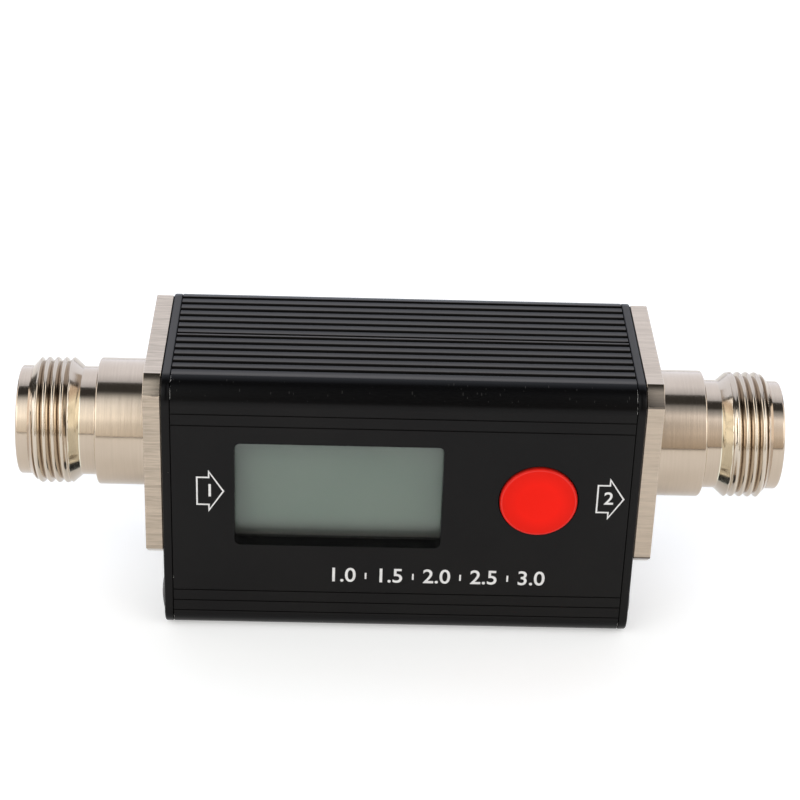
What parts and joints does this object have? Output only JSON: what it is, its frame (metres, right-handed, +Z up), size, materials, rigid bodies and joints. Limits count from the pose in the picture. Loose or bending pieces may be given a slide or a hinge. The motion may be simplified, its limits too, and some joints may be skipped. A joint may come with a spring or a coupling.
{
  "type": "inline digital swr meter",
  "caption": "Slim black ribbed metal box with a threaded coaxial socket on each end, a recessed display and a round red button; reads the standing wave ratio of a radio line.",
  "frame": {"origin": "middle of the ribbed base that the case stands on", "axes": "+X along the sockets from the input to the output, -Y out of the display, +Z up"},
  "size_m": [0.0954, 0.0267, 0.0354],
  "materials": {
    "black_anodised": "satin black anodised aluminium",
    "black_screw": "black oxide steel",
    "nickel": "nickel plated brass, turned and milled",
    "insulator": "white insulator",
    "gold_contact": "gold plated",
    "clear_cover": "clear glossy cover",
    "polarizer": "grey-green film",
    "display_glass": "clear glass",
    "reflector": "satin grey-green reflecting film",
    "white_plastic": "white moulded plastic",
    "contact_rubber": "conductive rubber strip",
    "red_plastic": "satin red moulded plastic",
    "black_plastic": "black moulded plastic",
    "bare_steel": "plain steel",
    "board": "green coated glass fibre",
    "copper": "copper",
    "chip": "black moulded package",
    "ceramic": "tan ceramic",
    "brass": "turned brass"
  },
  "bodies": {
    "case": {"front_shell": "black_anodised", "rear_shell": "black_anodised", "in_end_plate": "black_anodised", "out_end_plate": "black_anodised", "in_plate_screws": "black_screw", "out_plate_screws": "black_screw", "in_flange_screws": "nickel", "out_flange_screws": "nickel", "in_connector_shell": "nickel", "out_connector_shell": "nickel", "in_insulator": "insulator", "out_insulator": "insulator", "in_contact": "gold_contact", "out_contact": "gold_contact", "lcd_window": "clear_cover", "front_polarizer": "polarizer", "lcd_front_glass": "display_glass", "lcd_rear_glass": "display_glass", "lcd_reflector": "reflector", "lcd_holder": "white_plastic", "contact_strips": "contact_rubber", "switch_base": "black_plastic", "switch_cover": "bare_steel", "switch_dome": "bare_steel", "switch_terminals": "bare_steel", "display_board": "board", "microcontroller": "chip", "clock_crystal": "bare_steel", "voltage_regulator": "chip", "bypass_capacitors": "ceramic", "radio_board": "board", "through_line": "copper", "sense_lines": "copper", "detector_diodes": "chip", "termination_resistors": "chip", "board_plug": "white_plastic", "board_socket": "white_plastic", "board_spacers": "brass", "board_screws": "bare_steel", "cell_holder": "black_plastic", "coin_cell": "bare_steel", "cell_clip": "bare_steel"},
    "button": {"button_cap": "red_plastic", "switch_plunger": "white_plastic"}
  },
  "joints": [
    {"name": "button_press", "type": "slide", "parent": "case", "child": "button", "axis": [0, 1, 0], "range_m": [0, 0.0004], "stiffness_N_per_m": 400, "springref_m": -0.001}
  ]
}
